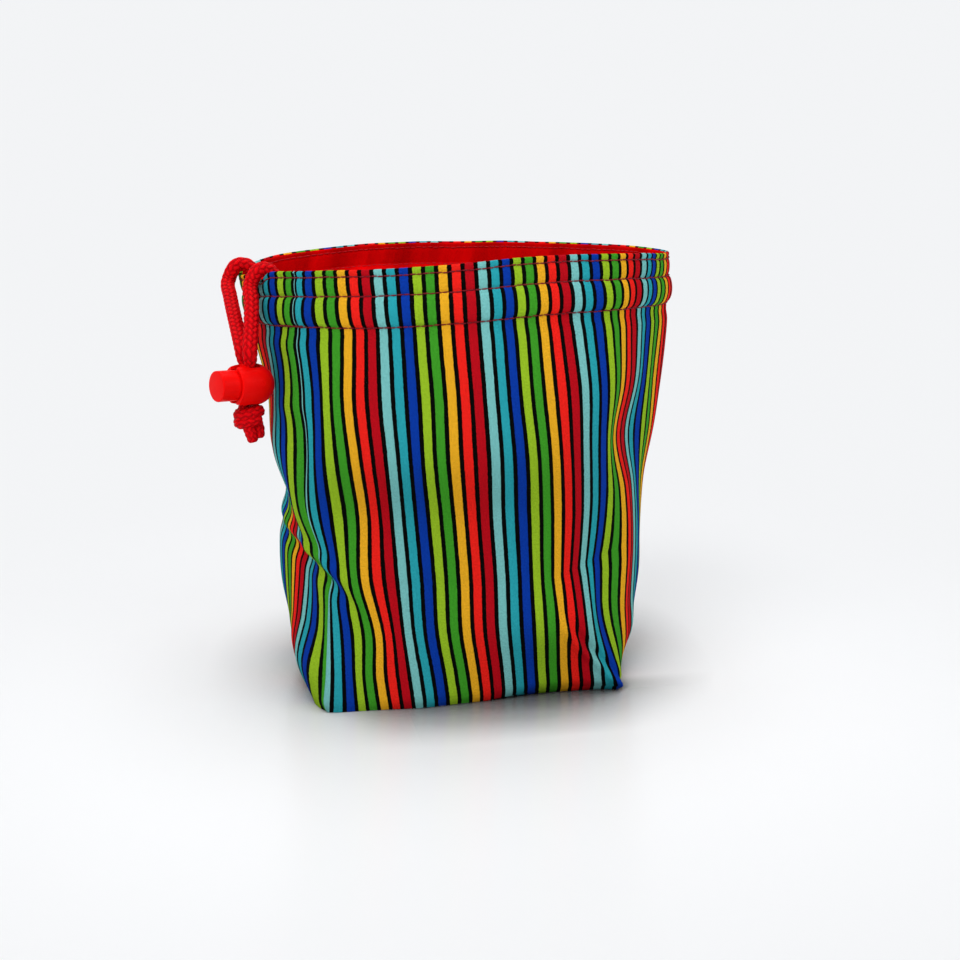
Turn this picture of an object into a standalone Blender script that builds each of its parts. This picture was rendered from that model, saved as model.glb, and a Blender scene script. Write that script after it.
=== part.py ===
"""Boxed drawstring pouch: striped cotton outer, red cotton lining, one drawcord in a sewn channel,
a spring cord lock and a stopper knot. Metres, +Z up, standing on its base at z = 0, +X along the
base's front edge and +Y away from the viewer. Plans are read as seen from the front in millimetres
and then turned by TURN, so that the base comes square to the axes."""
import math
import bpy
import numpy as np

for old in list(bpy.data.objects):
    bpy.data.objects.remove(old)
bag_parts = bpy.data.collections.new("pouch")
cutters = bpy.data.collections.new("cutters")
bpy.context.scene.collection.children.link(bag_parts)
bpy.context.scene.collection.children.link(cutters)
cutters.hide_render = True

TURN = math.radians(10.8)
PITCH = 5.5            # one stripe with its black line, mm
ROUND = 92.4           # stripes in the full girth, counted to the right from the side seam
RIM = 200.0            # cloth height from the floor to the rim, mm
CLOTH = 0.9            # one folded thickness of cloth
CHANNEL = (177.0, 179.4, 187.6, 190.0)   # cloth heights of the two stitch rows and of the flat between

# Places round the girth, in stripes from the seam, and the plan of the wall there at nine heights.
AT = np.array([-15, -10, -5, -2, 0, 2, 4, 8, 12, 16, 20, 24, 26.3, 29, 32, 36, 40, 46, 53, 60, 66, 72.5])
LEVEL = np.array([0, 15, 35, 60, 90, 120, 146, 170, 200.0])
PLAN = np.array([
    [(-79, 14), (-75, -13), (-70, -40), (-66, -56), (-61, -67), (-51, -66), (-41, -65), (-20, -63),
     (1, -57), (21, -51), (42, -45), (63, -42), (76, -41), (73, -26), (70, -10), (66, 12), (62, 34),
     (56, 67), (20, 60), (-17, 53), (-48, 47), (-81, 41)],
    [(-85, 22), (-84, -5), (-77, -36), (-69, -54), (-61, -63), (-52, -62), (-43, -62), (-22, -61),
     (-1, -57), (20, -53), (41, -48), (61, -43), (70, -37), (76, -23), (80, -7), (79, 14), (75, 37),
     (63, 68), (27, 72), (-11, 67), (-44, 60), (-76, 48)],
    [(-91, 24), (-86, -2), (-76, -27), (-67, -43), (-62, -52), (-53, -56), (-43, -59), (-25, -59),
     (-4, -58), (18, -57), (40, -55), (58, -45), (64, -35), (75, -20), (81, -2), (86, 18), (84, 41),
     (66, 68), (31, 79), (-7, 77), (-40, 70), (-72, 51)],
    [(-92, 31), (-87, 5), (-75, -17), (-69, -33), (-63, -43), (-57, -51), (-49, -57), (-27, -58),
     (-5, -58), (17, -57), (38, -50), (56, -37), (64, -29), (76, -15), (82, 1), (87, 20), (86, 42),
     (69, 70), (34, 84), (-4, 82), (-37, 74), (-68, 56)],
    [(-87, 25), (-84, -1), (-80, -24), (-77, -38), (-71, -46), (-62, -51), (-50, -55), (-29, -60),
     (-7, -62), (15, -61), (37, -54), (56, -41), (65, -31), (74, -18), (80, -4), (86, 15), (89, 36),
     (74, 65), (38, 78), (-1, 78), (-35, 71), (-68, 52)],
    [(-90, 17), (-90, -10), (-86, -34), (-78, -48), (-70, -56), (-63, -63), (-52, -69), (-30, -76),
     (-9, -77), (14, -76), (35, -70), (54, -57), (63, -47), (68, -33), (75, -18), (87, 2), (92, 23),
     (71, 49), (33, 64), (-6, 65), (-40, 59), (-72, 43)],
    [(-90, 20), (-92, -7), (-85, -31), (-78, -45), (-71, -54), (-63, -62), (-54, -68), (-32, -76),
     (-10, -76), (12, -76), (32, -70), (53, -58), (63, -50), (71, -37), (79, -21), (88, 0), (95, 21),
     (74, 47), (36, 63), (-3, 65), (-38, 59), (-71, 45)],
    [(-94, 27), (-99, 1), (-88, -26), (-79, -40), (-73, -48), (-65, -56), (-54, -63), (-33, -71),
     (-12, -72), (10, -71), (30, -63), (50, -51), (61, -43), (71, -32), (80, -18), (90, 3), (97, 23),
     (76, 49), (38, 63), (0, 65), (-35, 61), (-69, 49)],
    [(-92, 33), (-106, 8), (-92, -18), (-82, -31), (-75, -40), (-67, -48), (-57, -54), (-36, -61),
     (-14, -63), (8, -62), (28, -53), (48, -41), (59, -35), (71, -25), (82, -12), (92, 8), (98, 29),
     (79, 52), (43, 62), (5, 63), (-29, 60), (-63, 51)],
], float)
RIM_AT = [-15, -10, -5, 0, 4, 8, 12, 18, 25, 31, 38, 46, 60, 72.5]
RIM_Z = [195, 191, 193, 195.5, 197.5, 198.8, 200.3, 202.8, 202.8, 201, 197.7, 198, 199, 197.5]
LIFT_AT = [0, 14, 18, 22, 25, 28, 34, 46, 92.4]
LIFT_Z = [0, 0, 1.8, 2.6, 2.2, 0.8, 0, 0, 0]   # the base's front right edge stands off the floor


def curve(knots, rows, q, period=None):
    """Smooth cubic through the rows at the knots, read at q. With a period, it closes on itself."""
    knots, rows, q = np.asarray(knots, float), np.asarray(rows, float), np.asarray(q, float)
    if period:
        knots = np.concatenate([knots[-2:] - period, knots, knots[:2] + period])
        rows = np.concatenate([rows[-2:], rows, rows[:2]])
        q = knots[2] + (q - knots[2]) % period
    step = np.diff(knots)
    rise = np.diff(rows, axis=0) / step.reshape(-1, *[1] * (rows.ndim - 1))
    a, b = step[1:], step[:-1]
    shape = (-1,) + (1,) * (rows.ndim - 1)
    inner = (rise[:-1] * a.reshape(shape) + rise[1:] * b.reshape(shape)) / (a + b).reshape(shape)
    slope = np.concatenate([rise[:1], inner, rise[-1:]])
    k = np.clip(np.searchsorted(knots, q, side="right") - 1, 0, len(step) - 1)
    t = ((q - knots[k]) / step[k]).reshape(shape)
    h = step[k].reshape(shape)
    return ((2 * t**3 - 3 * t**2 + 1) * rows[k] + (t**3 - 2 * t**2 + t) * h * slope[k]
            + (3 * t**2 - 2 * t**3) * rows[k + 1] + (t**3 - t**2) * h * slope[k + 1])


def straight(knots, rows, q, period):
    """Straight runs between the knots, closed on itself: the outline of the boxed base."""
    knots = np.append(np.asarray(knots, float), knots[0] + period)
    rows = np.concatenate([rows, rows[:1]])
    q = knots[0] + (np.asarray(q, float) - knots[0]) % period
    return np.stack([np.interp(q, knots, rows[:, n]) for n in range(rows.shape[1])], -1)


def ridge(u, h, u0, h0, u1, h1, width):
    """Signed distance in mm of cloth from the crease line (above it is positive), faded past its ends."""
    dx, dy = (u1 - u0) * PITCH, h1 - h0
    size = math.hypot(dx, dy)
    px, py = (u - u0) * PITCH, h - h0
    along = (px * dx + py * dy) / size
    off = (py * dx - px * dy) / size
    end = np.clip(np.maximum(-along, along - size) / width, 0, 1)
    return off, (1 - end**2) ** 2


def folds(u, h):
    """Outward push of the cloth in mm: the two creases at the bottom corners, and the wall's soft waves."""
    u = (u + 20) % ROUND - 20
    off, fade = ridge(u, h, -5.5, 86, 2.8, 52, 15)
    left = 2.2 * fade * (np.exp(-((off - 4) / 4.5) ** 2) - np.exp(-((off + 4.5) / 4.5) ** 2))
    off, fade = ridge(u, h, 20.6, 52, 25.8, 8, 14)
    right = -2.2 * fade * (np.exp(-((off - 4.5) / 4.5) ** 2) - np.exp(-((off + 4.5) / 4.5) ** 2))
    back = 1.2 * np.sin(u * 0.9) * np.exp(-((u - 60) / 10) ** 2) * np.clip((h - 60) / 80, 0, 1)
    pinch = -0.9 * np.exp(-((h - 174.5) / 3.5) ** 2)
    return left + right + back + pinch


def channel(h):
    """1 between the two stitch rows of the cord channel, 0 outside them."""
    return np.interp(h, CHANNEL, [0, 1, 1, 0])


def wall(u, h):
    """Middle of the cloth at stripe u and cloth height h, in mm, with the outward direction."""
    u, h = np.broadcast_arrays(np.asarray(u, float), np.asarray(h, float))

    def plan(uu, hh):
        rows = []
        for n, level in enumerate(LEVEL):
            mix = min(level / 40, 1.0)
            rows.append(mix * curve(AT, PLAN[n], uu.ravel(), ROUND)
                        + (1 - mix) * straight(AT, PLAN[n], uu.ravel(), ROUND))
        rows = np.array(rows)
        k = np.clip(np.searchsorted(LEVEL, hh.ravel(), side="right") - 1, 0, len(LEVEL) - 2)
        step = np.diff(LEVEL)
        rise = np.diff(rows, axis=0) / step[:, None, None]
        a, b = step[1:, None, None], step[:-1, None, None]
        slope = np.concatenate([rise[:1], (rise[:-1] * a + rise[1:] * b) / (a + b), rise[-1:]])
        at = np.arange(uu.size)
        t = ((hh.ravel() - LEVEL[k]) / step[k])[:, None]
        s = step[k][:, None]
        p = ((2 * t**3 - 3 * t**2 + 1) * rows[k, at] + (t**3 - 2 * t**2 + t) * s * slope[k, at]
             + (3 * t**2 - 2 * t**3) * rows[k + 1, at] + (t**3 - t**2) * s * slope[k + 1, at])
        return p.reshape(*uu.shape, 2)

    p = plan(u, h)
    side = plan(u + 0.4, h) - plan(u - 0.4, h)
    side /= np.linalg.norm(side, axis=-1, keepdims=True)
    out = np.stack([side[..., 1], -side[..., 0]], -1)
    rim = curve(RIM_AT, np.array(RIM_Z)[:, None], u.ravel(), ROUND).reshape(u.shape)
    lift = np.interp(u % ROUND, LIFT_AT, LIFT_Z)
    z = h * rim / RIM + lift * np.clip(1 - h / 14, 0, 1)
    return np.concatenate([p + out * folds(u, h)[..., None], z[..., None]], -1), out


def shift(u, h, outward, up=0.0):
    """Point at stripe u and height h, moved outward by so many mm and up by so many."""
    p, out = wall(u, h)
    outward = np.asarray(outward, float)
    p = p.copy()
    p[..., :2] += out * outward[..., None]
    p[..., 2] += up
    return p


def world(p):
    """Turns points read as seen into the base's frame and into metres."""
    p = np.asarray(p, float)
    c, s = math.cos(TURN), math.sin(TURN)
    return np.stack([p[..., 0] * c + p[..., 1] * s, -p[..., 0] * s + p[..., 1] * c, p[..., 2]], -1) * 0.001


def material(name, colour, rough):
    m = bpy.data.materials.new(name)
    m.use_nodes = True
    shader = m.node_tree.nodes["Principled BSDF"]
    shader.inputs["Base Color"].default_value = (*colour, 1)
    shader.inputs["Roughness"].default_value = rough
    return m


def body(name, points, faces, mat):
    mesh = bpy.data.meshes.new(name)
    mesh.from_pydata([tuple(p) for p in points], [], [tuple(int(i) for i in f) for f in faces])
    mesh.update()
    obj = bpy.data.objects.new(name, mesh)
    obj.data.materials.append(mat)
    bag_parts.objects.link(obj)
    return obj


def cloth_cup(name, outer, inner, keep, mat):
    """One closed body from two nested grids, rows from the rim down to the middle of the base, columns
    round the girth. Both end in a centre point. Where keep is False, the wall has a hole right through."""
    rows, cols = outer.shape[:2]
    rows -= 1                                   # the last row holds the centre point
    points = np.concatenate([outer[:-1].reshape(-1, 3), inner[:-1].reshape(-1, 3),
                             outer[-1, :1], inner[-1, :1]])
    out_at = np.arange(rows * cols).reshape(rows, cols)
    in_at = out_at + rows * cols
    centre_out, centre_in = 2 * rows * cols, 2 * rows * cols + 1
    faces = []
    for r in range(rows - 1):
        for c in range(cols):
            d = (c + 1) % cols
            if keep[r, c]:
                faces.append((out_at[r, c], out_at[r + 1, c], out_at[r + 1, d], out_at[r, d]))
                faces.append((in_at[r, c], in_at[r, d], in_at[r + 1, d], in_at[r + 1, c]))
                continue
            if keep[r, c - 1]:
                faces.append((out_at[r, c], out_at[r + 1, c], in_at[r + 1, c], in_at[r, c]))
            if keep[r, d]:
                faces.append((out_at[r, d], in_at[r, d], in_at[r + 1, d], out_at[r + 1, d]))
            if keep[r - 1, c]:
                faces.append((out_at[r, c], in_at[r, c], in_at[r, d], out_at[r, d]))
            if keep[r + 1, c]:
                faces.append((out_at[r + 1, c], out_at[r + 1, d], in_at[r + 1, d], in_at[r + 1, c]))
    for c in range(cols):
        d = (c + 1) % cols
        faces.append((out_at[0, c], out_at[0, d], in_at[0, d], in_at[0, c]))
        faces.append((out_at[-1, c], centre_out, out_at[-1, d]))
        faces.append((in_at[-1, c], in_at[-1, d], centre_in))
    return body(name, world(points), faces, mat)


def tube(name, path, radius, sides, mat):
    """Round cord along a path in mm, with flat ends. The radius may change along it."""
    path = np.asarray(path, float)
    radius = np.broadcast_to(np.asarray(radius, float), len(path))
    run = np.gradient(path, axis=0)
    run /= np.linalg.norm(run, axis=1, keepdims=True)
    side = np.cross(run[0], [0.3, 0.2, 1.0])
    frames = []
    for t in run:
        side = side - t * np.dot(side, t)
        side /= np.linalg.norm(side)
        frames.append((side, np.cross(t, side)))
    a = np.arange(sides) * 2 * math.pi / sides
    rings = np.array([p + r * (np.cos(a)[:, None] * s + np.sin(a)[:, None] * b)
                      for p, r, (s, b) in zip(path, radius, frames)])
    n = len(path)
    faces = [tuple(range(sides - 1, -1, -1)), tuple((n - 1) * sides + k for k in range(sides))]
    for r in range(n - 1):
        for k in range(sides):
            m = (k + 1) % sides
            faces.append((r * sides + k, r * sides + m, (r + 1) * sides + m, (r + 1) * sides + k))
    return body(name, world(rings.reshape(-1, 3)), faces, mat)


def smooth_path(points, count):
    """Smooth path through the points, re-read at equal steps along its length."""
    points = np.asarray(points, float)
    knots = np.concatenate([[0], np.cumsum(np.linalg.norm(np.diff(points, axis=0), axis=1) ** 0.5)])
    fine = curve(knots, points, np.linspace(0, knots[-1], 400))
    run = np.concatenate([[0], np.cumsum(np.linalg.norm(np.diff(fine, axis=0), axis=1))])
    q = np.linspace(0, run[-1], count)
    return np.stack([np.interp(q, run, fine[:, n]) for n in range(3)], 1)


# Outer bag: one striped cotton piece, boxed at the base, closed by the seam at stripe 0.
cotton = material("striped_cotton", (0.02, 0.35, 0.12), 0.85)
nodes, links = cotton.node_tree.nodes, cotton.node_tree.links
uv = nodes.new("ShaderNodeUVMap")
split = nodes.new("ShaderNodeSeparateXYZ")
wrap = nodes.new("ShaderNodeMath")
wrap.operation = "FRACT"
ramp = nodes.new("ShaderNodeValToRGB")
ramp.color_ramp.interpolation = "CONSTANT"
STRIPES = [(0.26, 0.56, 0.53), (0.006, 0.33, 0.40), (0.0, 0.035, 0.38), (0.29, 0.58, 0.006),
           (0.04, 0.35, 0.03), (0.80, 0.45, 0.01), (0.86, 0.03, 0.015), (0.50, 0.0, 0.015)]
for n, colour in enumerate(STRIPES):
    stop = ramp.color_ramp.elements[0] if n == 0 else ramp.color_ramp.elements.new(n / 8)
    stop.position, stop.color = n / 8, (*colour, 1)
    edge = ramp.color_ramp.elements.new(n / 8 + 0.081)
    edge.color = (0.003, 0.003, 0.005, 1)
ramp.color_ramp.elements.remove(ramp.color_ramp.elements[-1])
links.new(uv.outputs["UV"], split.inputs[0])
links.new(split.outputs["X"], wrap.inputs[0])
links.new(wrap.outputs[0], ramp.inputs["Fac"])
links.new(ramp.outputs["Color"], nodes["Principled BSDF"].inputs["Base Color"])

girth = np.array([-19, -17, -15, -13.2, -11.6, -10, -8.5, -7, -5.3, -3.8, -2.4, -1.2, 0, 1.2, 2.4, 3.6, 5, 7, 9.5, 12, 14.5, 17, 19,
                  20.5, 22, 23.5, 25, 26.3, 27.6, 29, 31, 33, 35.5, 37.5, 39.5, 41.5, 43.5, 46, 49.5, 53, 56.5, 60, 63.5, 67,
                  70, 72.5])
heights = np.array([200, 190, 187.6, 179.4, 177, 173.5, 165, 150, 135, 120, 106, 94, 84, 75, 66, 57, 48, 38,
                    28, 19, 11, 4.5, 1.2, 0.0])


def cup_grid(columns, rows, outward, floor, base_in):
    """Wall rows, then a ring on the floor set in from the base edge, then the base's centre."""
    u, h = np.meshgrid(columns, rows)
    grid = shift(u, h, outward(u, h))
    stand = np.interp(u % ROUND, LIFT_AT, LIFT_Z) * np.clip(1 - h / 14, 0, 1)
    grid[..., 2] = np.maximum(grid[..., 2], floor + stand)
    centre = np.array([-2.5, 0.0, floor])
    ring = centre + (grid[-1] - centre) * base_in
    ring[:, 2] = floor
    return np.concatenate([grid, ring[None], np.broadcast_to(centre, grid[:1].shape)])


def round_edge(h):
    """The cloth turns under the base with a small radius."""
    return -2.2 * np.clip(1 - h / 6, 0, 1) ** 2


outer = cup_grid(girth, heights, lambda u, h: 0.45 + 1.8 * channel(h) + round_edge(h), 0.0, 0.86)
inner = cup_grid(girth, heights, lambda u, h: -0.45 + 1.8 * channel(h) + round_edge(h), CLOTH, 0.86)
outer[0, :, 2] += 0.6
inner[0, :, 2] += 0.6
striped = cloth_cup("outer_bag", outer, inner, np.ones(outer.shape[:2], bool), cotton)
layer = striped.data.uv_layers.new(name="UVMap")
cols, per_side = len(girth), (len(heights) + 1) * len(girth)


def fabric(w, left):
    """Stripe number on the printed cloth: it jumps at the seam, where the two edges of the cloth meet."""
    if left:
        return w + 93.0
    w = w % ROUND
    return w + 0.6 * min(max((w - 45) / 28.4, 0), 1)


for poly in striped.data.polygons:
    at = [striped.data.loops[k].vertex_index for k in poly.loop_indices]
    under = all(v >= 2 * per_side or (v % per_side) // cols >= len(heights) - 1 for v in at)
    us = [girth[v % per_side % cols] for v in at]
    left = max(us) <= 0 and min(us) < 0
    for k, w, v in zip(poly.loop_indices, us, at):
        across = (striped.data.vertices[v].co.x * 1000 + 72.5) / 5.27
        layer.data[k].uv = (((across if under else fabric(w, left)) + 0.325) / 8, 0)

# Lining: plain red cotton, with the inner half of the cord channel and two buttonholes for the cord.
red_cotton = material("lining_cotton", (0.62, 0.0, 0.005), 0.85)
HOLES = ((-9.7, -8.1), (-5.6, -4.0))          # stripes where the cord leaves the channel, at the left
lining_girth = np.array([-19, -16, -13, -11.3, -9.7, -8.1, -6.8, -5.6, -4.0, -2.4, -1.2, 0, 1.2, 2.4, 5, 8, 12, 16, 19,
                         22, 25, 26.3, 27.6, 30, 33, 36.5, 40.5, 43, 46, 49.5, 53, 56.5, 60, 63.5, 67, 70, 72.5])
lining_heights = np.array([199.6, 190, 187.6, 179.4, 177, 172, 158, 142, 126, 110, 96, 84, 70, 56, 40, 22, 6, 2.5])


def inside(u, h):
    return -5.0 * channel(h) + np.interp(h, [0, 8, 50, 165, 176, 200], [-4.4, -3.4, -2.6, -2.2, -1.0, -0.35])


lining_out = cup_grid(lining_girth, lining_heights, lambda u, h: -0.85 + inside(u, h), 1.3, 0.86)
lining_in = cup_grid(lining_girth, lining_heights, lambda u, h: -1.6 + inside(u, h), 2.1, 0.86)
keep = np.ones(lining_out.shape[:2], bool)
for left, right in HOLES:
    keep[2, np.flatnonzero(np.isclose(lining_girth, left))[0]] = False
cloth_cup("lining", lining_out, lining_in, keep, red_cotton)

# Drawcord: the stretch inside the channel, from one buttonhole round to the other.
cord_red = material("braided_cord", (0.60, 0.006, 0.012), 0.6)
CORD = 3.25            # the free cord's radius
q = np.concatenate([np.arange(-3.2, 72.5, 1.15), np.arange(72.5, ROUND - 10.4, 1.15)])
tube("drawcord_in_channel", shift(q, np.full_like(q, 183.5), np.full_like(q, -2.7)), 2.5, 7, cord_red)

# Cord lock: a ball-shaped housing bored for a sprung plunger, both slotted for the two cord runs.
LOCK = np.array([-93.8, -42.5, 146.8])
AXIS = np.array([-0.777, -0.629, 0.06])
AXIS = AXIS / np.linalg.norm(AXIS)
ACROSS = np.cross([0, 0, 1.0], AXIS)
ACROSS = ACROSS / np.linalg.norm(ACROSS)
UP = np.cross(AXIS, ACROSS)
lock_red = material("lock_plastic", (0.75, 0.012, 0.012), 0.35)
steel = material("spring_steel", (0.55, 0.55, 0.56), 0.3)


def at_lock(p):
    """From the lock's own frame (along the plunger, across, up) in mm to the plan as seen."""
    p = np.asarray(p, float)
    return LOCK + p[..., :1] * AXIS + p[..., 1:2] * ACROSS + p[..., 2:3] * UP


def turned(profile, sides, name, mat):
    """Solid of revolution about the plunger's axis from a closed profile of (along, radius)."""
    profile = np.asarray(profile, float)
    a = np.arange(sides) * 2 * math.pi / sides
    points, rings = [], []
    for along, radius in profile:
        if radius < 1e-6:
            rings.append([len(points)])
            points.append((along, 0, 0))
        else:
            rings.append(list(range(len(points), len(points) + sides)))
            points += [(along, radius * math.cos(t), radius * math.sin(t)) for t in a]
    faces = []
    for r in range(len(rings) - 1):
        one, two = rings[r], rings[r + 1]
        for k in range(sides):
            m = (k + 1) % sides
            if len(one) == 1:
                faces.append((one[0], two[m], two[k]))
            elif len(two) == 1:
                faces.append((one[k], one[m], two[0]))
            else:
                faces.append((one[k], one[m], two[m], two[k]))
    return body(name, world(at_lock(points)), faces, mat)


def cut(obj, name, low, high):
    """Cuts a box, given by its corners in the lock's frame, out of the object."""
    corners = [(x, y, z) for z in (low[2], high[2]) for y in (low[1], high[1]) for x in (low[0], high[0])]
    mesh = bpy.data.meshes.new(name)
    mesh.from_pydata([tuple(p) for p in world(at_lock(corners))], [],
                     [(0, 2, 3, 1), (4, 5, 7, 6), (0, 1, 5, 4), (2, 6, 7, 3), (0, 4, 6, 2), (1, 3, 7, 5)])
    box = bpy.data.objects.new(name, mesh)
    box.display_type = "WIRE"
    box.hide_render = True
    cutters.objects.link(box)
    m = obj.modifiers.new(name, "BOOLEAN")
    m.operation, m.solver, m.object = "DIFFERENCE", "EXACT", box


housing = turned([(-9.6, 0), (-9.4, 3.4), (-8.4, 6.0), (-6.2, 8.2), (-3.2, 9.3), (0.5, 9.5), (4.0, 9.4), (7.6, 8.9),
                  (9.4, 8.5), (9.4, 7.25), (-6.5, 7.25), (-6.5, 0)], 28, "lock_housing", lock_red)
cut(housing, "cord_slot_housing", (-1.6, -4.7, -12), (4.6, 4.7, 12))
cut(housing, "notch_top", (4.9, -2.2, 5.0), (12, 2.2, 12))
cut(housing, "notch_under", (4.9, -2.2, -12), (12, 2.2, -5.0))
plunger = turned([(-1.4, 0), (-1.4, 6.85), (17.2, 6.85), (18.2, 6.3), (18.2, 0)], 24, "lock_plunger", lock_red)
cut(plunger, "cord_slot_plunger", (1.4, -4.7, -12), (7.6, 4.7, 12))
coil = np.linspace(0, 3 * 2 * math.pi, 43)
tube("lock_spring", at_lock(np.stack([-5.9 + 3.8 * coil / coil[-1], 4.6 * np.cos(coil), 4.6 * np.sin(coil)], 1)),
     0.3, 6, steel)

# The two free runs of cord: out of the buttonhole, up over the rim's left end and down through the lock.
for name, hole, over, hang, across in (("cord_run_left", -8.9, -9.2, (-107.5, -9.5, 181.0), -1.0),
                                       ("cord_run_right", -4.8, -4.9, (-94.6, -31.0, 181.0), 1.0)):
    throat = at_lock([[2.8, across * 3.5, 14.5], [2.6, across * 2.4, 9.8], [3.0, across * 1.9, 6.6],
                      [3.0, across * 1.9, 0.0], [3.0, across * 2.0, -8.6]])
    points = [shift(hole, 183.6, np.array(-6.6)), shift(hole, 184.2, np.array(-10.2)),
              shift(0.5 * (hole + over), 190, np.array(-12.2)), shift(over, 197.5, np.array(-8.6)),
              shift(over, 200, np.array(-4.0), 4.9), shift(over, 200, np.array(1.2), 5.2),
              shift(over, 197.5, np.array(5.8)), np.array(hang)]
    path = smooth_path(points + list(throat), 44)
    above = path[:, 2] - LOCK[2]
    radius = np.interp(above, [-8, 7.2, 9.6, 13, 20], [1.3, 1.3, 1.9, 3.05, CORD])
    tube(name, path, radius, 8, cord_red)

# Stopper knot with its two short tails, under the lock.
knot_at = at_lock([3.0, 0.0, 0.0]) + np.array([0, 0, -14.0])


def ball(name, centre, size, mat):
    """Egg-shaped core of the knot."""
    rings, sides = 7, 12
    points = [(0, 0, -1)]
    for r in range(1, rings):
        f = math.pi * r / rings
        points += [(math.sin(f) * math.cos(a), math.sin(f) * math.sin(a), -math.cos(f))
                   for a in np.arange(sides) * 2 * math.pi / sides]
    points.append((0, 0, 1))
    faces = [(0, 1 + (k + 1) % sides, 1 + k) for k in range(sides)]
    for r in range(rings - 2):
        for k in range(sides):
            m = (k + 1) % sides
            faces.append((1 + r * sides + k, 1 + r * sides + m, 1 + (r + 1) * sides + m, 1 + (r + 1) * sides + k))
    top = len(points) - 1
    faces += [(top, 1 + (rings - 2) * sides + k, 1 + (rings - 2) * sides + (k + 1) % sides) for k in range(sides)]
    return body(name, world(centre + np.array(points) * size), faces, mat)


stopper = ball("stopper_knot", knot_at, np.array([6.4, 5.6, 4.6]), cord_red)


def joined(target, other):
    """Adds another closed body to the target, and keeps that body out of the render as a helper."""
    bag_parts.objects.unlink(other)
    cutters.objects.link(other)
    other.hide_render = True
    other.display_type = "WIRE"
    m = target.modifiers.new(other.name, "BOOLEAN")
    m.operation, m.solver, m.object = "UNION", "EXACT", other


bow = np.linspace(0.12, 2 * math.pi - 0.12, 22)
joined(stopper, tube("wrap_one", knot_at + np.stack([5.3 * np.cos(bow), 4.4 * np.sin(bow), 2.6 * np.cos(bow + 0.6)], 1),
                     2.3, 7, cord_red))
joined(stopper, tube("tail_front", smooth_path(knot_at + np.array([(-3, -1, -1), (-1.0, -2.6, -5.0), (0.2, -3.0, -9),
                     (0.4, -3.2, -12.6)]), 8), np.linspace(2.6, 3.0, 8), 7, cord_red))
joined(stopper, tube("tail_back", smooth_path(knot_at + np.array([(3, 1, -1), (3.6, 0.4, -4.5), (4.6, -0.4, -8),
                     (4.9, -0.8, -11.2)]), 8), np.linspace(2.6, 3.0, 8), 7, cord_red))
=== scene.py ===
"""Drawstring pouch, dressed: a boxed bag of striped cotton with a red cotton lining, three rows of
topstitching, one braided cord in a sewn channel, a sprung cord lock and a stopper knot. Metres, +Z up,
the middle of the base at the origin. Shapes are read as seen from the front, in millimetres, and then
turned so that the base comes square to the axes."""
import math

import bpy
import numpy as np
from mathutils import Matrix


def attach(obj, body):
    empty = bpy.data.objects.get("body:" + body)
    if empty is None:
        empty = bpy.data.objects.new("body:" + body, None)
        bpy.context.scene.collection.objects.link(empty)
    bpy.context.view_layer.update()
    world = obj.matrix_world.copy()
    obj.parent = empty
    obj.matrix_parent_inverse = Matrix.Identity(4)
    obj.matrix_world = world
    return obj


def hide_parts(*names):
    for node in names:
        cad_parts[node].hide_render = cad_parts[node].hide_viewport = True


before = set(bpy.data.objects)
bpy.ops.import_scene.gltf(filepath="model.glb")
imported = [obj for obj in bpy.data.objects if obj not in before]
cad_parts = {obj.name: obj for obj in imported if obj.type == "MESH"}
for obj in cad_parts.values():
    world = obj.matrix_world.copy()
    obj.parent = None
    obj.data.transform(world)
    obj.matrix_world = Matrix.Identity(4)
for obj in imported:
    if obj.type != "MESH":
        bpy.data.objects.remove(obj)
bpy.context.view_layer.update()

# Viewpoint: a short tele lens about 0.7 m in front of the pouch, a little left of the base's own square
# axis and above the rim, looking down into the mouth.
TURN = math.radians(10.8)      # from the view's square to the base's own
lens = bpy.data.cameras.new("camera")
lens.sensor_width, lens.lens = 36.0, 56.25
camera = bpy.data.objects.new("camera", lens)
camera.location = (-0.1237, -0.6877, 0.2725)
camera.rotation_euler = (math.radians(75.5), 0.0, -TURN)
bpy.context.scene.collection.objects.link(camera)
bpy.context.scene.camera = camera

# Light: a white studio with one broad soft lamp above and to the left, a weaker one to the right, and an
# even glow all round. The backdrop is seen as white.
bpy.context.scene.view_settings.view_transform = "Standard"
world = bpy.data.worlds.new("studio")
bpy.context.scene.world = world
world.use_nodes = True


def wire(tree, kind, **sockets):
    """A new shader node with its settings and sockets filled: a node's output is linked, a value is set."""
    node = tree.nodes.new(kind)
    for key, value in sockets.items():
        if not key.startswith("in_"):
            setattr(node, key, value)
            continue
        socket = node.inputs[int(key[3:]) if key[3:].isdigit() else key[3:].replace("_", " ")]
        if isinstance(value, bpy.types.NodeSocket):
            tree.links.new(value, socket)
        else:
            socket.default_value = value
    return node


def seen_directly(tree):
    """1 for the camera's rays and for those that reach it by a mirror or through glass, 0 for the others."""
    kind = wire(tree, "ShaderNodeLightPath").outputs
    either = wire(tree, "ShaderNodeMath", operation="MAXIMUM", in_0=kind["Is Camera Ray"],
                  in_1=kind["Is Glossy Ray"])
    return wire(tree, "ShaderNodeMath", operation="MAXIMUM", in_0=either.outputs[0],
                in_1=kind["Is Transmission Ray"]).outputs[0]


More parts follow.
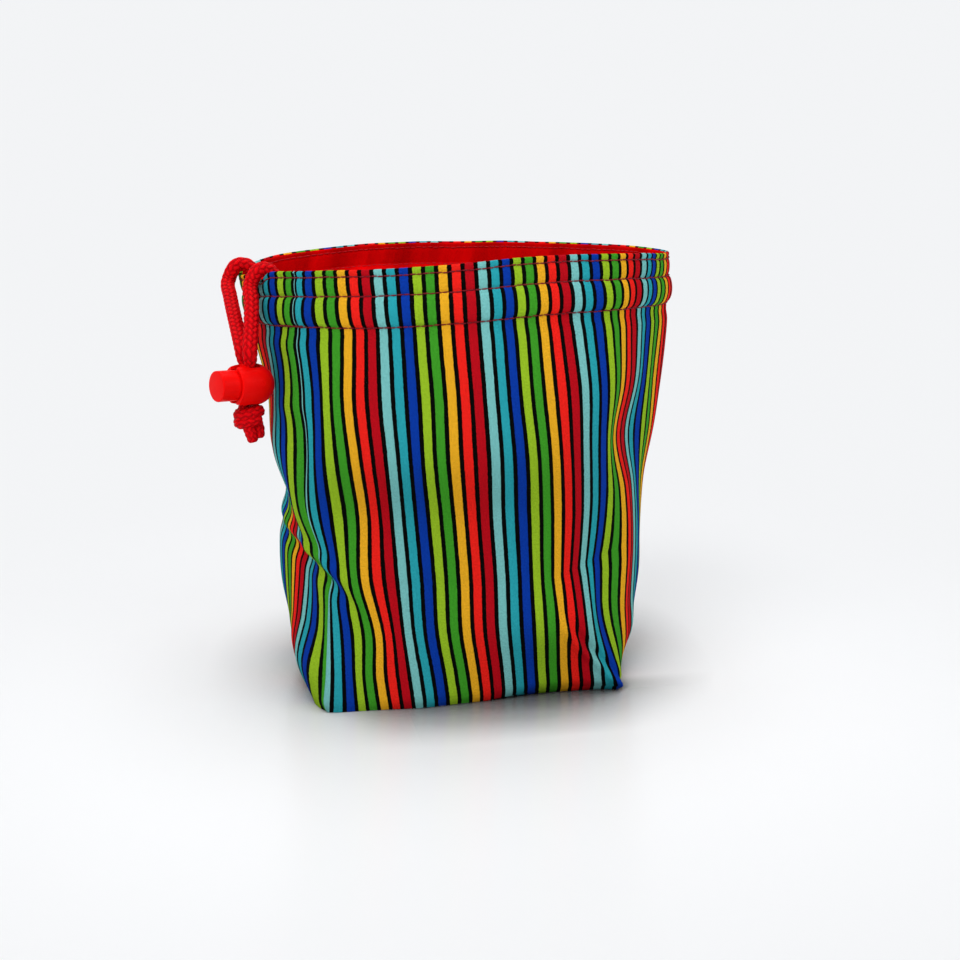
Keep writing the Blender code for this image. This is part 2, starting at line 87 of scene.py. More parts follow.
sky = world.node_tree
glow = sky.nodes["Background"]
glow.inputs["Color"].default_value = (0.97, 0.98, 1.0, 1)
glow.inputs["Strength"].default_value = 0.55
pale = wire(sky, "ShaderNodeBackground", in_Color=(0.93, 0.935, 0.95, 1)).outputs[0]
choose = wire(sky, "ShaderNodeMixShader", in_0=seen_directly(sky), in_1=glow.outputs[0], in_2=pale)
sky.links.new(choose.outputs[0], sky.nodes["World Output"].inputs["Surface"])
for name, place, size, power in (("lamp_key", (-0.9, -1.0, 1.5), 1.3, 17.0),
                                 ("lamp_fill", (1.2, -0.9, 0.9), 1.2, 6.0),
                                 ("lamp_top", (0.1, 0.3, 1.7), 1.2, 9.0)):
    lamp = bpy.data.lights.new(name, "AREA")
    lamp.shape, lamp.size, lamp.energy = "DISK", size, power
    holder = bpy.data.objects.new(name, lamp)
    holder.location = place
    aim = np.array((0.0, 0.0, 0.1)) - np.array(place)
    aim /= np.linalg.norm(aim)
    holder.rotation_euler = (math.acos(-aim[2]), 0.0, math.atan2(-aim[0], aim[1]))
    bpy.context.scene.collection.objects.link(holder)

# Floor: a glossy white board that runs up into the backdrop without an edge, all the way round. As seen, it
# turns into plain white with distance and keeps the pouch's cast shadow close by. On top of that its colour
# is darkened by a painted shadow, strongest in the narrow gap under the front edge. For the light it throws
# back up, its colour is painted darker close to the base, a painted shade under the pouch.
SWEEP = 40
reach = np.concatenate([np.linspace(0, 1.6, 9), 1.6 + 1.2 * np.sin(np.linspace(0.1, math.pi / 2, 12)), [2.8]])
rise = np.concatenate([np.zeros(9), 1.2 - 1.2 * np.cos(np.linspace(0.1, math.pi / 2, 12)), [3.2]])
angle = np.arange(SWEEP) * 2 * math.pi / SWEEP
ground = np.stack([reach[1:, None] * np.cos(angle), reach[1:, None] * np.sin(angle),
                   np.broadcast_to(rise[1:, None], (len(reach) - 1, SWEEP))], -1).reshape(-1, 3)
ground[:, 2] -= 0.0001
ground = np.vstack([ground, [[0, 0, -0.0001]]])
ring = np.arange(SWEEP)
quads = [(r * SWEEP + k, (r + 1) * SWEEP + k, (r + 1) * SWEEP + (k + 1) % SWEEP, r * SWEEP + (k + 1) % SWEEP)
         for r in range(len(reach) - 2) for k in range(SWEEP)]
fan = [(len(ground) - 1, k, (k + 1) % SWEEP) for k in range(SWEEP)]
board = bpy.data.meshes.new("floor")
board.from_pydata(ground.tolist(), [], quads + fan)
board.polygons.foreach_set("use_smooth", np.ones(len(board.polygons), bool))
floor = bpy.data.objects.new("floor", board)
bpy.context.scene.collection.objects.link(floor)

white = bpy.data.materials.new("white_board")
white.use_nodes = True
tree = white.node_tree
skin = tree.nodes["Principled BSDF"]
skin.inputs["Roughness"].default_value = 0.22
skin.inputs["Specular IOR Level"].default_value = 0.4
place = wire(tree, "ShaderNodeTexCoord").outputs["Object"]
seen = seen_directly(tree)
past_base = place
for operation, amount in (("ABSOLUTE", None), ("SUBTRACT", (0.07, 0.05, 0.0)),
                          ("MAXIMUM", (0.0, 0.0, 0.0))):
    step = wire(tree, "ShaderNodeVectorMath", operation=operation, in_0=past_base)
    if amount:
        step.inputs[1].default_value = amount
    past_base = step.outputs[0]
away = wire(tree, "ShaderNodeVectorMath", operation="LENGTH", in_0=past_base).outputs["Value"]
whiter = wire(tree, "ShaderNodeMapRange", interpolation_type="SMOOTHSTEP", in_0=away, in_1=0.0, in_2=0.30,
              in_3=0.0, in_4=0.98).outputs[0]
# Painted shade: for rays other than the camera's, the board's colour runs from dark at the base to white 8 cm
# away, so less light bounces up under the pouch.
bounce_colour_with_painted_shade = wire(tree, "ShaderNodeMapRange", in_0=away, in_1=0.0, in_2=0.08, in_3=0.12, in_4=0.84).outputs[0]
# Painted shadow: as seen, the board's colour is multiplied by its ambient occlusion raised to a power. The
# power is highest in front of the base and towards the right, so the floor is painted darkest there.
apart = wire(tree, "ShaderNodeSeparateXYZ", in_0=place)
before = wire(tree, "ShaderNodeMapRange", interpolation_type="SMOOTHSTEP", in_0=apart.outputs[1], in_1=-0.035,
              in_2=-0.06, in_3=0.0, in_4=1.0).outputs[0]
rightward = wire(tree, "ShaderNodeMapRange", interpolation_type="SMOOTHSTEP", in_0=apart.outputs[0], in_1=-0.07,
                 in_2=-0.02, in_3=0.0, in_4=1.0).outputs[0]
power = wire(tree, "ShaderNodeMath", operation="MULTIPLY_ADD", in_1=5.2, in_2=0.5, in_0=wire(
    tree, "ShaderNodeMath", operation="MULTIPLY", in_0=before, in_1=rightward).outputs[0]).outputs[0]
open_sky = wire(tree, "ShaderNodeAmbientOcclusion", samples=2, in_Distance=0.045).outputs["AO"]
shadow = wire(tree, "ShaderNodeMath", operation="POWER", in_0=open_sky, in_1=power).outputs[0]
board_with_painted_shadow = wire(tree, "ShaderNodeVectorMath", operation="SCALE", in_0=(0.895, 0.9, 0.912),
             in_Scale=shadow).outputs[0]
tree.links.new(wire(tree, "ShaderNodeMix", data_type="RGBA", in_0=seen, in_6=bounce_colour_with_painted_shade, in_7=board_with_painted_shadow).outputs[2],
               skin.inputs["Base Color"])
backdrop = wire(tree, "ShaderNodeEmission", in_Color=(0.90, 0.91, 0.925, 1)).outputs[0]
mixed = wire(tree, "ShaderNodeMixShader", in_1=skin.outputs[0], in_2=backdrop, in_0=wire(
    tree, "ShaderNodeMath", operation="MULTIPLY", in_0=whiter, in_1=seen).outputs[0])
tree.links.new(mixed.outputs[0], tree.nodes["Material Output"].inputs["Surface"])
board.materials.append(white)

# Outer bag: one printed cotton cloth, boxed at the base and closed by a seam up its front left corner.
# The print is eight coloured stripes, each with a black line beside it.
STRIPE = 5.5           # one colour and its black line, mm
ROUND = 92.4           # stripes in the girth, counted to the right from the seam
RIM = 200.0            # cloth height of the rim above the floor, mm
AT = np.array([-15, -10, -5, -2, 0, 2, 4, 8, 12, 16, 20, 24, 26.3, 29, 32, 36, 40, 46, 53, 60, 66, 72.5])
LEVEL = np.array([0, 15, 35, 60, 90, 120, 146, 170, 200.0])
PLAN = np.array([
    [(-79, 14), (-78, -13), (-73, -40), (-69, -56), (-63, -68), (-51, -66), (-41, -65), (-20, -63),
     (1, -57), (21, -51), (42, -45), (63, -42), (76, -41), (73, -26), (70, -10), (66, 12), (62, 34),
     (56, 67), (20, 60), (-17, 53), (-48, 47), (-81, 41)],
    [(-85, 22), (-84, -5), (-79, -36), (-71, -54), (-62, -63), (-52, -62), (-43, -62), (-22, -61),
     (-1, -57), (20, -53), (41, -48), (61, -43), (70, -37), (76, -23), (80, -7), (79, 14), (75, 37),
     (63, 68), (27, 72), (-11, 67), (-44, 60), (-76, 48)],
    [(-91, 24), (-86, -2), (-76, -27), (-67, -43), (-62, -52), (-53, -56), (-43, -59), (-25, -59),
     (-4, -58), (18, -57), (40, -55), (58, -45), (64, -35), (75, -20), (81, -2), (86, 18), (84, 41),
     (66, 68), (31, 79), (-7, 77), (-40, 70), (-72, 51)],
    [(-92, 31), (-87, 5), (-75, -17), (-69, -33), (-63, -43), (-57, -51), (-49, -57), (-27, -58),
     (-5, -58), (17, -57), (38, -50), (56, -37), (64, -29), (76, -15), (82, 1), (87, 20), (86, 42),
     (69, 70), (34, 84), (-4, 82), (-37, 74), (-68, 56)],
    [(-87, 25), (-84, -1), (-80, -24), (-77, -38), (-71, -46), (-62, -51), (-50, -55), (-29, -60),
     (-7, -62), (15, -61), (37, -54), (56, -41), (65, -31), (74, -18), (80, -4), (86, 15), (89, 36),
     (74, 65), (38, 78), (-1, 78), (-35, 71), (-68, 52)],
    [(-90, 17), (-90, -10), (-86, -34), (-78, -48), (-70, -56), (-63, -63), (-52, -69), (-30, -76),
     (-9, -77), (14, -76), (35, -70), (54, -57), (63, -47), (68, -33), (75, -18), (87, 2), (92, 23),
     (71, 49), (33, 64), (-6, 65), (-40, 59), (-72, 43)],
    [(-90, 20), (-92, -7), (-85, -31), (-78, -45), (-71, -54), (-63, -62), (-54, -68), (-32, -76),
     (-10, -76), (12, -76), (32, -70), (53, -58), (63, -50), (71, -37), (79, -21), (88, 0), (95, 21),
     (74, 47), (36, 63), (-3, 65), (-38, 59), (-71, 45)],
    [(-94, 27), (-99, 1), (-88, -26), (-79, -40), (-73, -48), (-65, -56), (-54, -63), (-33, -71),
     (-12, -72), (10, -71), (30, -63), (50, -51), (61, -43), (71, -32), (80, -18), (90, 3), (97, 23),
     (76, 49), (38, 63), (0, 65), (-35, 61), (-69, 49)],
    [(-92, 33), (-106, 8), (-92, -18), (-82, -31), (-75, -40), (-67, -48), (-57, -54), (-36, -61),
     (-14, -63), (8, -62), (28, -53), (48, -41), (59, -35), (71, -25), (82, -12), (92, 8), (98, 29),
     (79, 52), (43, 62), (5, 63), (-29, 60), (-63, 51)],
], float)
RIM_AT = [-15, -10, -5, 0, 4, 8, 12, 18, 25, 31, 38, 46, 60, 72.5]
RIM_Z = [195, 191, 193, 195.5, 197.5, 198.8, 200.3, 202.8, 202.8, 201, 197.7, 198, 199, 197.5]
LIFT_AT = [0, 14, 18, 22, 25, 28, 34, 46, ROUND]
LIFT_Z = [0, 0, 1.8, 2.6, 2.2, 0.8, 0, 0, 0]
ROWS = (198.2, 190.0, 177.0)        # cloth heights of the three rows of topstitching


def curve(knots, rows, q, period=None):
    """Smooth cubic through the rows at the knots: each slope is the mean of the two neighbouring rises,
    weighted by the other's step. With a period it closes on itself."""
    knots, rows, q = np.asarray(knots, float), np.asarray(rows, float), np.asarray(q, float)
    if period:
        knots = np.concatenate([knots[-2:] - period, knots, knots[:2] + period])
        rows = np.concatenate([rows[-2:], rows, rows[:2]])
        q = knots[2] + (q - knots[2]) % period
    shape = (-1,) + (1,) * (rows.ndim - 1)
    step = np.diff(knots)
    climb = np.diff(rows, axis=0) / step.reshape(shape)
    a, b = step[1:].reshape(shape), step[:-1].reshape(shape)
    slope = np.concatenate([climb[:1], (climb[:-1] * a + climb[1:] * b) / (a + b), climb[-1:]])
    k = np.clip(np.searchsorted(knots, q, side="right") - 1, 0, len(step) - 1)
    t, s = ((q - knots[k]) / step[k]).reshape(shape), step[k].reshape(shape)
    return ((2 * t**3 - 3 * t**2 + 1) * rows[k] + (t**3 - 2 * t**2 + t) * s * slope[k]
            + (3 * t**2 - 2 * t**3) * rows[k + 1] + (t**3 - t**2) * s * slope[k + 1])


def plan_at(u, h):
    """Plan point of the cloth: a cubic through the stations round the girth at each level, mixed with
    straight runs between them towards the floor, and then a cubic up through the levels."""
    knots = np.append(AT, AT[0] + ROUND)
    q = AT[0] + (u.ravel() - AT[0]) % ROUND
    rings = []
    for n, level in enumerate(LEVEL):
        mix = min(level / 40, 1.0)
        closed = np.concatenate([PLAN[n], PLAN[n][:1]])
        flat = np.stack([np.interp(q, knots, closed[:, 0]), np.interp(q, knots, closed[:, 1])], -1)
        rings.append(mix * curve(AT, PLAN[n], q, ROUND) + (1 - mix) * flat)
    rings = np.array(rings)
    step = np.diff(LEVEL)
    climb = np.diff(rings, axis=0) / step[:, None, None]
    a, b = step[1:, None, None], step[:-1, None, None]
    slope = np.concatenate([climb[:1], (climb[:-1] * a + climb[1:] * b) / (a + b), climb[-1:]])
    hh = h.ravel()
    k = np.clip(np.searchsorted(LEVEL, hh, side="right") - 1, 0, len(LEVEL) - 2)
    each = np.arange(hh.size)
    t, s = ((hh - LEVEL[k]) / step[k])[:, None], step[k][:, None]
    p = ((2 * t**3 - 3 * t**2 + 1) * rings[k, each] + (t**3 - 2 * t**2 + t) * s * slope[k, each]
         + (3 * t**2 - 2 * t**3) * rings[k + 1, each] + (t**3 - t**2) * s * slope[k + 1, each])
    return p.reshape(*u.shape, 2)


def lip(off, width):
    """A crease across its line: out on the positive side, in on the other, gone two widths away."""
    return np.exp(-((off - width) / width) ** 2) - np.exp(-((off + width) / width) ** 2)


def folds(u, h):
    """Outward push in mm: the crease from the left gusset over the seam, the one that rises from the base's
    right corner, soft waves in the back and all over, dents beside the seam, a kink and a dent low on the
    front, and the pinch under the lowest row."""
    u = (u + 20) % ROUND - 20
    line = np.interp(u, [-14, -11, -8, -5.5, -2, 0, 1.5, 2.7, 4],
                     [72, 71, 68.5, 66.3, 64.6, 62, 59.5, 55.5, 49])
    fade = np.clip((u + 17) / 8, 0, 1) * np.clip((4.2 - u) / 3.2, 0, 1)
    left = 2.3 * fade * lip((h - line) * 0.9, 4.2)
    line = np.interp(h, [1, 6, 13.5, 23, 34, 41.5, 50, 60], [26.4, 25.7, 24.8, 23.1, 21.7, 21.1, 20.6, 20.5])
    fade = np.clip((62 - h) / 34, 0, 1) ** 1.5 * np.clip((h + 4) / 10, 0, 1)
    right = -1.7 * fade * lip((u - line) * STRIPE * 0.8, 2.2)
    back = 1.2 * np.sin(u * 0.9) * np.exp(-((u - 60) / 10) ** 2) * np.clip((h - 60) / 80, 0, 1)
    turn = 2 * math.pi * u / ROUND
    calm = np.clip(h / 20, 0, 1)
    waves = calm * (0.22 * np.sin(9 * turn + 0.021 * h) + 0.16 * np.sin(23 * turn + 1.3 - 0.035 * h)
                    + 0.12 * np.sin(37 * turn + 0.5 + 0.05 * h) * np.sin(0.045 * h + 0.7))
    beside = (1.4 * np.exp(-((h - 170) / 8) ** 2) + 0.8 * np.exp(-((h - 142) / 5) ** 2)
              - 0.9 * np.exp(-((h - 128) / 11) ** 2)) * np.exp(-((u + 1.6) / 3.0) ** 2)
    kink = -2.0 * np.exp(-np.abs(h - 59.5 - 0.7 * (u - 24)) / 9) * np.exp(-((u - 24.5) / 4.2) ** 4)
    dent = -0.35 * np.exp(-((h - 58) / 2.4) ** 2) * np.exp(-((u - 10) / 5.5) ** 4)
    pinch = -0.9 * np.exp(-((h - 174.5) / 3.5) ** 2)
    return left + right + back + waves + beside + kink + dent + pinch


def lifted(u, h):
    """How far the base's edge stands off the floor, in mm: read round the girth, gone 14 mm up the cloth."""
    return np.interp(u % ROUND, LIFT_AT, LIFT_Z) * np.clip(1 - h / 14, 0, 1)


def wall(u, h):
    """Middle of the cloth at stripe u and cloth height h in mm, with the outward direction: the plan
    point pushed out by the folds, as high as the rim's own height there gives, less what the two runs of
    cord press the rim down."""
    u, h = np.broadcast_arrays(np.asarray(u, float), np.asarray(h, float))
    p = plan_at(u, h)
    side = plan_at(u + 0.4, h) - plan_at(u - 0.4, h)
    side /= np.linalg.norm(side, axis=-1, keepdims=True)
    out = np.stack([side[..., 1], -side[..., 0]], -1)
    rim = curve(RIM_AT, np.array(RIM_Z)[:, None], u.ravel(), ROUND).reshape(u.shape)
    near = (u + 20) % ROUND - 20
    pressed = (1.6 * np.exp(-((near + 7.2) / 3.0) ** 4) + 0.6 * np.exp(-((near + 9.2) / 0.9) ** 2)
               + 2.6 * np.exp(-((near + 4.9) / 0.9) ** 2)) * np.clip((h - 184) / 16, 0, 1) ** 2
    z = h * rim / RIM + lifted(u, h) - pressed
    return np.concatenate([p + out * folds(u, h)[..., None], z[..., None]], -1), out


def shift(u, h, outward, up=0.0):
    """The wall's point moved outward, and up, by so many mm."""
    p, out = wall(u, h)
    p = p.copy()
    p[..., :2] += out * np.asarray(outward, float)[..., None]
    p[..., 2] += up
    return p


def world_of(p):
    """Turns points as seen, in mm, about the vertical into the base's own axes, in metres."""
    c, s = math.cos(TURN), math.sin(TURN)
    return np.stack([p[..., 0] * c + p[..., 1] * s, p[..., 1] * c - p[..., 0] * s, p[..., 2]], -1) * 0.001


def piece(name, points, faces, body, stands_for):
    """A mesh object from points in metres and rows of four corner numbers (a triangle repeats none but
    has three), riding on a body in place of its plain solids."""
    mesh = bpy.data.meshes.new(name)
    mesh.from_pydata(points.reshape(-1, 3).tolist(), [], [tuple(f) for f in faces])
    mesh.polygons.foreach_set("use_smooth", np.ones(len(mesh.polygons), bool))
    mesh.update()
    obj = bpy.data.objects.new(name, mesh)
    bpy.context.scene.collection.objects.link(obj)
    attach(obj, body)
    if stands_for:
        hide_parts(*stands_for)
    return obj


def grid_faces(rows, cols, closed=False):
    """Four-cornered faces of a grid of rows by columns, joined round when closed."""
    r, c = np.meshgrid(np.arange(rows - 1), np.arange(cols if closed else cols - 1), indexing="ij")
    d = (c + 1) % cols
    corners = [r * cols + c, (r + 1) * cols + c, (r + 1) * cols + d, r * cols + d]
    return np.stack(corners, -1).reshape(-1, 4).tolist()


def lay_uv(obj, uv):
    """Gives each vertex its place on the flat cloth, in metres, as the UV map."""
    layer = obj.data.uv_layers.new(name="cloth")
    corner = np.empty(len(obj.data.loops), np.int32)
    obj.data.loops.foreach_get("vertex_index", corner)
    layer.data.foreach_set("uv", uv.reshape(-1, 2)[corner].astype(np.float32).ravel())


def channel_swell(h):
    """How far the cord channel stands out, 0 at its two stitch rows and 1 between them: half a sine to
    the power 0.6."""
    t = np.clip((h - ROWS[2]) / (ROWS[1] - ROWS[2]), 0, 1)
    return np.sin(math.pi * t) ** 0.6


def outer_face(u, h):
    """Offset in mm of the outer cloth's face from the wall's middle: half its thickness, the channel's
    swell, a groove at each stitch row and at the seam, and the small radius under the base."""
    groove = sum(0.42 * np.exp(-((h - row) / 0.9) ** 2) for row in ROWS)
    near = np.minimum(u % ROUND, ROUND - u % ROUND) * STRIPE
    seam = 0.75 * np.exp(-(near / 1.3) ** 2) * np.clip((h - 6) / 10, 0, 1)
    edge = 0.35 * np.clip((h - ROWS[1]) / 3, 0, 1) * np.clip((ROWS[0] - h) / 3, 0, 1)
    side = (u + 20) % ROUND - 20
    # The radius under the base is small at the left corner, but for the seam's own tuck.
    tuck = 2.2 - 1.4 * np.exp(-((side + 3) / 7) ** 4) + 1.6 * np.exp(-(side / 0.7) ** 2)
    return 0.45 + 1.8 * channel_swell(h) + edge - groove - seam - tuck * np.clip(1 - h / 6, 0, 1) ** 2


def seam_at(h):
    """Where the seam lies, in stripes: it leans to the left towards the base."""
    return np.interp(h, [10, 35, 60, 95, 120, 200], [-0.17, -0.17, -0.05, 0.08, 0.13, 0.13])


def fabric_coordinate(u, h):
    """Stripe number on the print. Right of the seam it is the stripe count itself, with a slow drift round
    the back that makes it meet the left side. Left of the seam the print starts again five stripes on,
    less the strip that the seam takes, which widens towards the base."""
    right = u + 0.6 * np.clip((u - 45) / 28.4, 0, 1)
    cut = np.interp(h, [10, 50, 80, 95, 120, 200], [0.93, 0.85, 0.75, 0.63, 0.55, 0.53])
    left = u - ROUND + 93.0 - cut * np.exp(-((u - ROUND) / 2.0) ** 2)
    return np.where(u > ROUND - 19.0, left, right)


columns = np.concatenate([np.arange(0, 34, 0.2), np.arange(34, 74, 0.32), np.arange(74, ROUND, 0.2), [ROUND]])
down = np.concatenate([np.linspace(200, 188, 25), np.linspace(187.4, 179.4, 12), np.linspace(178.8, 171, 16),
                       np.arange(169.4, 12, -1.7),
                       [10.6, 9.0, 7.4, 6.0, 4.8, 3.6, 2.6, 1.7, 0.9, 0.3, 0.0]])
roll = np.linspace(math.radians(155), 0, 8)[:-1]
u, h = np.meshgrid(columns, down)
near_seam = seam_at(h) * (np.exp(-(u / 2.0) ** 2) + np.exp(-((u - ROUND) / 2.0) ** 2))
face = shift(u + near_seam, h, outer_face(u, h))
face[..., 2] = np.maximum(face[..., 2], lifted(u, h))
top_u, top_a = np.meshgrid(columns, roll)
over = shift(top_u + near_seam[0], np.full_like(top_u, RIM), -0.55 + np.cos(top_a), np.sin(top_a))
flat_u = np.concatenate([top_u + near_seam[0], u + near_seam])
flat_h = np.concatenate([RIM + math.radians(10) + top_a, h])
side_uv = np.stack([fabric_coordinate(flat_u, np.minimum(flat_h, RIM)) * STRIPE, flat_h], -1) * 0.001
sides = np.concatenate([over, face])
inward = np.linspace(0.97, 0.0, 12)[:, None, None]
centre = np.array([-2.5, 0.0, 0.0])
under = centre + (face[-1][None] - centre) * inward
under[..., 2] = 0.0
under = np.concatenate([face[-1:], under])
under_uv = np.stack([(world_of(under)[..., 0] * 1000 + 72.5) / 5.27 * STRIPE, -under[..., 1]], -1) * 0.001
count = sides.shape[0] * sides.shape[1]
faces = grid_faces(*sides.shape[:2]) + (np.array(grid_faces(*under.shape[:2])) + count).tolist()
outer = piece("outer_cloth", world_of(np.concatenate([sides, under]).reshape(-1, 3)), faces, "bag",
              ("outer_bag",))
lay_uv(outer, np.concatenate([side_uv.reshape(-1, 2), under_uv.reshape(-1, 2)]))

# Print: the colours in the order they come, as linear red, green and blue, each with a black line after it.
# The edges wander and fray a little, as ink does on a weave, and the threads show lighter and darker.
PRINT = [(0.165, 0.47, 0.46), (0.020, 0.315, 0.375), (0.003, 0.036, 0.32), (0.27, 0.455, 0.018),
         (0.042, 0.285, 0.018), (0.74, 0.37, 0.016), (0.78, 0.0155, 0.0105), (0.43, 0.004, 0.010)]
INK = (0.0018, 0.002, 0.0016)
COLOUR_SHARE = 0.652   # of a stripe; the black line takes the rest
PRINT_START = 0.235    # stripes into the first colour at the seam, to which the wander adds 0.09


def cloth_material(name, rough, thread):
    """A woven cotton: a principled shader whose bump is a plain weave, the product of two sine waves a
    thread pair apart along the cloth's two directions, under fine soft unevenness."""
    mat = bpy.data.materials.new(name)
    mat.use_nodes = True
    tree = mat.node_tree
    skin = tree.nodes["Principled BSDF"]
    skin.inputs["Roughness"].default_value = rough
    skin.inputs["Specular IOR Level"].default_value = 0.02
    where = wire(tree, "ShaderNodeUVMap", uv_map="cloth").outputs[0]
    apart = wire(tree, "ShaderNodeSeparateXYZ", in_0=where)
    per_metre = 2 * math.pi / thread
    warp = wire(tree, "ShaderNodeMath", operation="SINE", in_0=wire(
        tree, "ShaderNodeMath", operation="MULTIPLY", in_0=apart.outputs[0], in_1=per_metre).outputs[0])
    weft = wire(tree, "ShaderNodeMath", operation="SINE", in_0=wire(
        tree, "ShaderNodeMath", operation="MULTIPLY", in_0=apart.outputs[1], in_1=per_metre).outputs[0])
    weave = wire(tree, "ShaderNodeMath", operation="MULTIPLY", in_0=warp.outputs[0], in_1=weft.outputs[0])
    soft = wire(tree, "ShaderNodeTexNoise", in_Vector=where, in_Scale=160.0, in_Detail=4.0)
    low = wire(tree, "ShaderNodeBump", name="soft unevenness", in_Strength=0.35, in_Distance=0.0006,
               in_Height=soft.outputs[0])
    high = wire(tree, "ShaderNodeBump", in_Strength=0.45, in_Distance=0.00006, in_Height=weave.outputs[0],
                in_Normal=low.outputs[0])
    tree.links.new(high.outputs[0], skin.inputs["Normal"])
    return mat, tree, skin, where, apart, weave


striped, tree, skin, where, apart, weave = cloth_material("striped_print", 0.85, 0.0008)
drawn = wire(tree, "ShaderNodeTexNoise", in_Scale=1.0, in_Detail=3.0, in_Roughness=0.6, in_Vector=wire(
    tree, "ShaderNodeVectorMath", operation="MULTIPLY", in_0=where, in_1=(330.0, 90.0, 0.0)).outputs[0])
ragged = wire(tree, "ShaderNodeTexNoise", in_Scale=1100.0, in_Detail=3.0, in_Vector=where)
count = wire(tree, "ShaderNodeMath", operation="MULTIPLY", in_0=apart.outputs[0], in_1=1000 / STRIPE)
sway = wire(tree, "ShaderNodeMath", operation="MULTIPLY_ADD", in_0=drawn.outputs[0], in_1=0.07,
            in_2=count.outputs[0])
fray = wire(tree, "ShaderNodeMath", operation="MULTIPLY_ADD", in_0=ragged.outputs[0], in_1=0.11,
            in_2=sway.outputs[0])
eighth = wire(tree, "ShaderNodeMath", operation="MULTIPLY_ADD", in_0=fray.outputs[0], in_1=0.125,
              in_2=PRINT_START / 8)
part_of = wire(tree, "ShaderNodeMath", operation="FRACT", in_0=eighth.outputs[0])
ramp = wire(tree, "ShaderNodeValToRGB", in_Fac=part_of.outputs[0])
ramp.color_ramp.interpolation = "CONSTANT"
for n, colour in enumerate(PRINT):
    stop = ramp.color_ramp.elements[0] if n == 0 else ramp.color_ramp.elements.new(n / 8)
    stop.position, stop.color = n / 8, (*colour, 1)
    line = ramp.color_ramp.elements.new((n + COLOUR_SHARE) / 8)
    line.color = (*INK, 1)
ramp.color_ramp.elements.remove(ramp.color_ramp.elements[-1])
mottle = wire(tree, "ShaderNodeTexNoise", in_Scale=1400.0, in_Detail=2.0, in_Vector=where)
tone_and_painted_fold_shade = wire(tree, "ShaderNodeMapRange", in_0=mottle.outputs[0], in_1=0.3, in_2=0.7, in_3=0.82, in_4=1.18)
speck = wire(tree, "ShaderNodeMath", operation="MULTIPLY_ADD", in_0=weave.outputs[0], in_1=0.26,
             in_2=tone_and_painted_fold_shade.outputs[0])
printed = wire(tree, "ShaderNodeVectorMath", operation="SCALE", in_0=ramp.outputs[0],
               in_Scale=speck.outputs[0])
tree.links.new(printed.outputs[0], skin.inputs["Base Color"])
outer.data.materials.append(striped)

# Lining: plain red cotton, sewn to the outer at the rim and again along the two channel rows, loose below,
# where it hangs in soft upright folds. Its colour is painted lighter and darker in streaks along these folds,
# a painted shade.
def lining_face(u, h):
    """Offset in mm of the lining's inner face from the wall's middle: it hangs further in low down and
    swells inward over the cord between the two channel rows, with a groove at each row."""
    hang = np.interp(h, [0, 8, 50, 165, 176, 200], [-4.4, -3.4, -2.6, -2.2, -1.0, -0.35])
    groove = sum(0.35 * np.exp(-((h - row) / 0.9) ** 2) for row in ROWS)
    ripple = 0.5 * np.sin(u * 1.7 + 0.03 * h) * np.clip((170 - h) / 60, 0, 1) * np.clip(h / 30, 0, 1)
    return -1.6 + hang - 5.0 * channel_swell(h) + groove + ripple


LINING_FLOOR = 2.1     # height of the lining's bottom, mm
in_columns = np.arange(0, ROUND - 0.1, 0.33)
in_down = np.concatenate([np.linspace(200, 188, 20), np.linspace(187, 179.6, 10), np.linspace(178.8, 171, 13),
                          np.arange(168.5, 8, -3.2), [5.5, 3.6, 2.6]])
u, h = np.meshgrid(in_columns, in_down)
inner = shift(u, h, lining_face(u, h))
inner[..., 2] = np.maximum(inner[..., 2], LINING_FLOOR + lifted(u, h))
edge = shift(in_columns, np.full_like(in_columns, RIM), np.full_like(in_columns, -1.35), 0.45)[None]
inward = np.linspace(0.95, 0.0, 10)[:, None, None]
centre = np.array([-2.5, 0.0, LINING_FLOOR])
bottom = centre + (inner[-1][None] - centre) * inward
bottom[..., 2] = LINING_FLOOR
inner = np.concatenate([edge, inner, bottom])
lining = piece("lining_cloth", world_of(inner), [f[::-1] for f in grid_faces(*inner.shape[:2], closed=True)],
               "bag", ("lining",))
high_of = np.concatenate([[200.5], in_down, -np.linspace(2, 60, 10)])
lay_uv(lining, np.stack(np.broadcast_arrays(in_columns * STRIPE, high_of[:, None]), -1) * 0.001)
red_cloth, tree, skin, where, _, weave = cloth_material("lining_cotton_red", 0.85, 0.0008)
rumple = wire(tree, "ShaderNodeTexNoise", in_Scale=1.0, in_Detail=2.0, in_Vector=wire(
    tree, "ShaderNodeVectorMath", operation="MULTIPLY", in_0=where, in_1=(75.0, 14.0, 0.0)).outputs[0])
soft_folds = wire(tree, "ShaderNodeBump", in_Strength=1.0, in_Distance=0.004, in_Height=rumple.outputs[0])
tree.links.new(soft_folds.outputs[0], tree.nodes["soft unevenness"].inputs["Normal"])
# Painted shade: the fold pattern that drives the bump also makes the red lighter and darker along the folds. On
# the print above, the same variable is only a random mottle.
tone_and_painted_fold_shade = wire(tree, "ShaderNodeMapRange", in_0=rumple.outputs[0], in_1=0.35, in_2=0.65, in_3=0.78, in_4=1.22)
speck = wire(tree, "ShaderNodeMath", operation="MULTIPLY_ADD", in_0=weave.outputs[0], in_1=0.06,
             in_2=tone_and_painted_fold_shade.outputs[0])
dyed_with_painted_fold_shade = wire(tree, "ShaderNodeVectorMath", operation="SCALE", in_0=(0.64, 0.0004, 0.0012),
            in_Scale=speck.outputs[0])
tree.links.new(dyed_with_painted_fold_shade.outputs[0], skin.inputs["Base Color"])
lining.data.materials.append(red_cloth)

# Topstitching: dark red thread in three rows right round, each stitch a short strand that dips into the
# cloth at both ends. The lowest row is sewn back over itself where it starts, beside the seam.
STITCH = 0.50          # one stitch and its gap, in stripes


